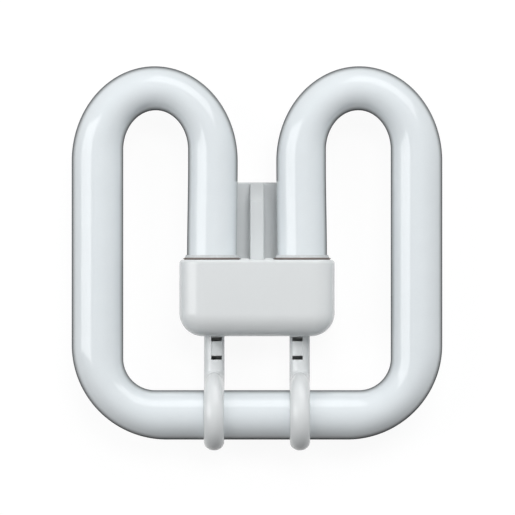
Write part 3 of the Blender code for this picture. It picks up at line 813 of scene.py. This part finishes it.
def makeArm(side):
    # Each section is half an ellipse on a flat that faces the limb, with small rounds at the flat's
    # edges; past the strip along its outer side, the half ellipse is lowered by the pocket's depth
    s = armSet
    y, z, angle, half, size, pocket, root = armPath()
    stripAngle = math.acos((armHalf - s["strip"]) / armHalf)
    strip = np.linspace(0, stripAngle, s["arcSteps"] // 2)
    rest = np.linspace(stripAngle + s["pocketEdge"], math.pi, s["arcSteps"])
    front = np.concatenate([strip, rest])
    lowered = np.concatenate([strip * 0, rest * 0 + 1])
    corner = np.linspace(0, quarter, s["edgeSteps"])
    high = (half * size)[:, None]
    back = high + root[:, None]
    edge = s["edge"] * size[:, None] - high
    wide = armHalf * size[:, None]
    soft = s["edge"] * s["edgeShare"] * size[:, None]
    acrossFront = wide * np.cos(front)
    outFront = edge + (high - edge - pocket[:, None] * lowered) * np.sin(front)
    acrossFar = -wide + soft * (1 - np.cos(corner))
    outFar = -back + soft * (1 - np.sin(corner))
    acrossNear = wide - soft * (1 - np.cos(corner[::-1]))
    outNear = -back + soft * (1 - np.sin(corner[::-1]))
    across = np.concatenate([acrossFront, acrossFar, acrossNear], 1) * side
    out = np.concatenate([outFront, outFar, outNear], 1)
    rings = np.zeros((*across.shape, 3))
    rings[..., 0] = side * s["spacing"] / 2 + across
    rings[..., 1] = y[:, None] + out * np.sin(angle)[:, None]
    rings[..., 2] = z[:, None] + out * np.cos(angle)[:, None]
    return lofted("arm", rings)


def pinPlaces():
    # The left pair, then the right pair, upper pin first
    s = pinSet
    middle = capTop - s["drop"]
    return [
        (side * s["spacing"] / 2, middle + row * s["rows"] / 2)
        for side in (-1, 1) for row in (1, -1)
    ]


def makeBase():
    # The cap's back with its plate, hollowed round the recess's cup, then all that stands on them
    rim = midZ - seatGap / 2
    wall = capSet["wall"]
    base = stacked("capBase", capOutline, blockLevels(0, rim, capSet["backRound"]))
    plateLevels = blockLevels(0, plateFront, plateSet["bevel"], plateSet["bevel"])
    combine(base, stacked("plate", plateOutline, plateLevels), "UNION")
    hollow = stacked("hollow", capOutline, [(wall, wall), (rim + wall, wall)])
    cup = boxPiece(
        "cup", (-plateHalf, plateHalf), (recessLow - recessSet["wall"], capTop + wall),
        (0, plateFront),
    )
    combine(hollow, cup, "DIFFERENCE")
    combine(base, hollow, "DIFFERENCE")
    recess = stacked("recess", recessOutline, [(-wall, 0), (recessSet["depth"], 0)])
    combine(base, recess, "DIFFERENCE")
    combine(base, makeRib(), "UNION")
    cutOpenings(base)
    key = boxPiece(
        "key", (-recessSet["keyWidth"] / 2, recessSet["keyWidth"] / 2),
        (recessTop - recessSet["keyDepth"], recessTop + recessSet["wall"] / 2),
        (recessSet["keyRecessed"], recessSet["depth"] + plateSet["thickness"] / 2),
    )
    combine(base, key, "UNION")
    holeRadius = pinSet["radius"] + seatGap
    for x, y in pinPlaces():
        hole = rod("hole", holeRadius, (x, y, recessSet["depth"] / 2), (x, y, plateFront + wall))
        combine(base, hole, "DIFFERENCE")
    for side in (-1, 1):
        addSideFeatures(base, side, rim)
    addMouldMarks(base)
    return base


def addSideFeatures(base, side, rim):
    # The latch window, peg boss and slotted arm of one side
    wall = capSet["wall"]
    middleY = (capTop + plateTop) / 2
    middleZ = recessSet["depth"] / 2
    latch = boxPiece(
        "latch", (side * (recessHalf - recessSet["wall"]), side * (plateHalf + recessSet["wall"])),
        (middleY - recessSet["latchLength"] / 2, middleY + recessSet["latchLength"] / 2),
        (middleZ - recessSet["latchHeight"] / 2, middleZ + recessSet["latchHeight"] / 2),
    )
    combine(base, latch, "DIFFERENCE")
    x = side * pegX
    bossRadius = pegSet["radius"] + seatGap + wall
    combine(base, rod("boss", bossRadius, (x, pegY, wall / 2), (x, pegY, midZ - seatGap)), "UNION")
    foot = (x, pegY, midZ - pegSet["length"] - seatGap)
    socket = rod("socket", pegSet["radius"] + seatGap, foot, (x, pegY, rim + wall))
    combine(base, socket, "DIFFERENCE")
    combine(base, makeArm(side), "UNION")
    middle = side * armSet["spacing"] / 2
    inner = middle - side * (armHalf - armSet["web"])
    outer = middle + side * (armHalf - armSet["strip"])
    slotFloor = armZ - armSet["thickness"] / 2 - armSet["armRoot"] + armSet["slotFloor"]
    for i in range(armSet["slots"]):
        high = capFoot - armSet["firstSlot"] - armSet["slotPitch"] * i
        slot = boxPiece(
            "slot", (inner, outer), (high - armSet["slotHeight"], high),
            (slotFloor, armZ + armSet["width"]),
        )
        combine(base, slot, "DIFFERENCE")


def addMouldMarks(base):
    # Shallow rounds left by the mould's pins, and a gate's stub in its dimple
    s = mouldSet
    wall = capSet["wall"]
    backY = capFoot + s["backY"]
    floorZ = recessSet["depth"]
    inset = s["cornerInset"]
    marks = [(x, y, floorZ) for x in (inset - recessHalf, recessHalf - inset)
             for y in (recessLow + inset, recessTop - inset)]
    for x, y, z in marks + [(-s["backX"], backY, 0.0), (s["backX"], backY, 0.0)]:
        mark = rod("mark", s["pinRadius"], (x, y, z - wall), (x, y, z + s["pinDepth"]), s["sides"])
        combine(base, mark, "DIFFERENCE")
    gateFloor = (0, backY, s["gateDepth"])
    dimple = rod("dimple", s["gateRadius"], (0, backY, -wall), gateFloor, s["sides"])
    combine(base, dimple, "DIFFERENCE")
    low = s["gateDepth"] - s["stubHeight"]
    stub = rod("stub", s["stubRadius"], (0, backY, low), (0, backY, wall / 2), s["sides"])
    combine(base, stub, "UNION")


dress(makeBase(), "cap_base", mouldedWhite)
print("base made")


# Contact pins and lead wires


def makePin(number, x, y):
    # Round nose in the recess, a flange on the plate, an open tail for the wire; poles are merged
    s = pinSet
    tail = plateFront + s["tail"]
    seat = plateFront + seatGap
    arc = np.linspace(0, quarter, s["noseSteps"] + 1)
    profile = list(zip(s["radius"] * np.sin(arc), s["recessed"] + s["radius"] * (1 - np.cos(arc))))
    profile += [
        (s["radius"], seat), (s["flangeRadius"], seat), (s["flangeRadius"], seat + s["flange"]),
        (s["radius"], seat + s["flange"]), (s["radius"], tail), (s["bore"], tail),
        (s["bore"], tail - s["boreDepth"]), (0, tail - s["boreDepth"]),
    ]
    pin = turned(f"pin{number}", profile, s["sides"], (x, y, 0))
    merged = bmesh.new()
    merged.from_mesh(pin.data)
    bmesh.ops.remove_doubles(merged, verts=merged.verts, dist=s["mergeGap"])
    bmesh.ops.recalc_face_normals(merged, faces=merged.faces)
    merged.to_mesh(pin.data)
    merged.free()
    return pin


for number, (x, y) in enumerate(pinPlaces(), 1):
    dress(makePin(number, x, y), f"contact_pin_{number}", turnedBrass)

wireSet = {
    "radius": 0.0004, "insert": 0.0015, "offset": 0.0042, "dropOuter": 0.0044, "dropInner": 0.0021,
    "steps": 14, "round": 3,
}


def wireRoute(side, row):
    # From the end of the glass, over, and down into the tail of its pin
    s = wireSet
    x = side * pinSet["spacing"] / 2
    y = capTop - pinSet["drop"] + row * pinSet["rows"] / 2
    tail = plateFront + pinSet["tail"]
    glassX = side * (seatX + row * s["offset"])
    glassY = capTop - tubeSet["legInsert"] - tubeSet["endDome"] - 2 * seatGap
    drop = glassY - (s["dropOuter"] if row > 0 else s["dropInner"])
    route = [(glassX, glassY, midZ), (glassX, glassY - 2 * s["radius"], midZ)]
    route.append((glassX - side * s["offset"] / 2, drop, midZ))
    if row > 0:
        route.append((x + side * s["offset"], drop, midZ + s["offset"]))
        route.append((x - side * s["offset"] / 2, y - pinSet["rows"], midZ + s["offset"]))
    return route + [(x, y, tail + s["offset"]), (x, y, tail), (x, y, tail - s["insert"])]


def makeWire(number, route):
    # A round section carried along a smooth curve through the route's points
    curve = bpy.data.curves.new(f"leadPath{number}", "CURVE")
    curve.dimensions = "3D"
    curve.resolution_u = wireSet["steps"]
    curve.bevel_depth = wireSet["radius"]
    curve.bevel_resolution = wireSet["round"]
    curve.use_fill_caps = True
    spline = curve.splines.new("BEZIER")
    spline.bezier_points.add(len(route) - 1)
    for knot, place in zip(spline.bezier_points, route):
        knot.co = place
        knot.handle_left_type = "AUTO"
        knot.handle_right_type = "AUTO"
    guide = placed(f"leadPath{number}", curve)
    graph = bpy.context.evaluated_depsgraph_get()
    mesh = bpy.data.meshes.new_from_object(guide.evaluated_get(graph))
    bpy.data.objects.remove(guide, do_unlink=True)
    return placed(f"leadWire{number}", mesh)


for number, (side, row) in enumerate(((-1, 1), (-1, -1), (1, 1), (1, -1)), 1):
    dress(makeWire(number, wireRoute(side, row)), f"lead_wire_{number}", drawnWire)
print("pins and wires made")


# Floor, light and camera


def seenRays(tree):
    # 1 for camera, glossy and transmission rays, 0 for the rest
    path = addNode(tree, "ShaderNodeLightPath").outputs
    either = worked(tree, "MAXIMUM", path["Is Camera Ray"], path["Is Glossy Ray"])
    return worked(tree, "MAXIMUM", either, path["Is Transmission Ray"])


def shownBySight(tree, unseen, seen, output):
    # One shader where it is seen, straight or in gloss, and another for the light it gives back
    choice = addNode(tree, "ShaderNodeMixShader", {0: seenRays(tree), 1: unseen, 2: seen})
    addNode(tree, output, {"Surface": choice.outputs[0]})


def matt(tree, level):
    return addNode(tree, "ShaderNodeBsdfDiffuse", {"Color": (level, level, level, 1)}).outputs[0]


floorSet = {
    "half": 4.0, "seen": 0.11, "glow": (0.92, 1.0), "glowReach": (0.15, 0.60), "unseen": 0.17,
}


def makeFloor():
    # Pale where it is seen, with the lamp's shadow kept, and white far off; dim as a bounce
    s = floorSet
    material = bpy.data.materials.new("paleFloor")
    material.use_nodes = True
    tree = material.node_tree
    tree.nodes.clear()
    position = addNode(tree, "ShaderNodeTexCoord").outputs["Object"]
    away = addNode(tree, "ShaderNodeVectorMath", {0: position}, operation="LENGTH").outputs["Value"]
    strength = mapped(tree, ramp(tree, away, s["glowReach"], "SMOOTHSTEP"), *s["glow"])
    glow = addNode(tree, "ShaderNodeEmission", {"Strength": strength}).outputs[0]
    seen = addNode(tree, "ShaderNodeAddShader", {0: matt(tree, s["seen"]), 1: glow}).outputs[0]
    shownBySight(tree, matt(tree, s["unseen"]), seen, "ShaderNodeOutputMaterial")
    half = s["half"]
    corners = [(-half, -half, 0), (half, -half, 0), (half, half, 0), (-half, half, 0)]
    mesh = bpy.data.meshes.new("floor")
    mesh.from_pydata(corners, [], [(0, 1, 2, 3)])
    mesh.materials.append(material)
    placed("floor", mesh)


worldSet = {"unseen": (0.95, 0.98, 1.0, 1), "strength": 0.065}


def makeWorld():
    # White where it is seen, a faint cool light where it isn't
    s = worldSet
    world = bpy.data.worlds.new("studio")
    world.use_nodes = True
    tree = world.node_tree
    tree.nodes.clear()
    white = addNode(tree, "ShaderNodeBackground", {"Color": (1, 1, 1, 1), "Strength": 1.0})
    dim = addNode(tree, "ShaderNodeBackground", {"Color": s["unseen"], "Strength": s["strength"]})
    shownBySight(tree, dim.outputs[0], white.outputs[0], "ShaderNodeOutputWorld")
    bpy.context.scene.world = world


# A lamp that shines is seen in gloss; the others only light
lampSets = {
    "topSoftbox": {
        "place": (0.42, 0.93, 0.76), "size": (1.25, 0.85), "power": 7.7, "shines": True,
    },
    "leftSoftbox": {
        "place": (-0.94, 0.16, 0.76), "size": (0.62, 1.05), "power": 6.4, "shines": True,
    },
    "leftWall": {
        "place": (-1.45, 0.0, 0.36), "size": (0.60, 1.80), "power": 4.4, "shines": False,
    },
    "rightWall": {
        "place": (1.45, 0.0, 0.40), "size": (0.60, 1.80), "power": 6.4, "shines": False,
    },
    "frontSoftbox": {
        "place": (0.20, 0.62, 1.70), "size": (0.90, 0.55), "power": 11.6, "shines": False,
    },
}


def makeLamps():
    # Each is turned to the middle of the tube's plane
    target = Vector((0, 0, midZ))
    for name, s in lampSets.items():
        light = bpy.data.lights.new(name, "AREA")
        light.shape = "RECTANGLE"
        light.size, light.size_y = s["size"]
        light.energy = s["power"]
        lamp = placed(name, light)
        lamp.location = s["place"]
        lamp.rotation_euler = (target - Vector(s["place"])).to_track_quat("-Z", "Y").to_euler()
        lamp.visible_camera = False
        lamp.visible_glossy = s["shines"]


cameraSet = {
    "frame": 0.1921, "distance": 1.5, "aim": (0.00019, 0.0003), "sensor": 36.0, "clip": 0.01,
}


def makeCamera():
    # Straight down on the lamp's face, from far enough away that it looks flat on
    s = cameraSet
    data = bpy.data.cameras.new("camera")
    data.sensor_fit = "HORIZONTAL"
    data.sensor_width = s["sensor"]
    data.lens = s["sensor"] * s["distance"] / s["frame"]
    data.clip_start = s["clip"]
    camera = placed("camera", data)
    camera.location = (*s["aim"], midZ + s["distance"])
    bpy.context.scene.camera = camera


makeFloor()
makeWorld()
makeLamps()
makeCamera()
bpy.context.scene.view_settings.view_transform = "Standard"
print("stage set")
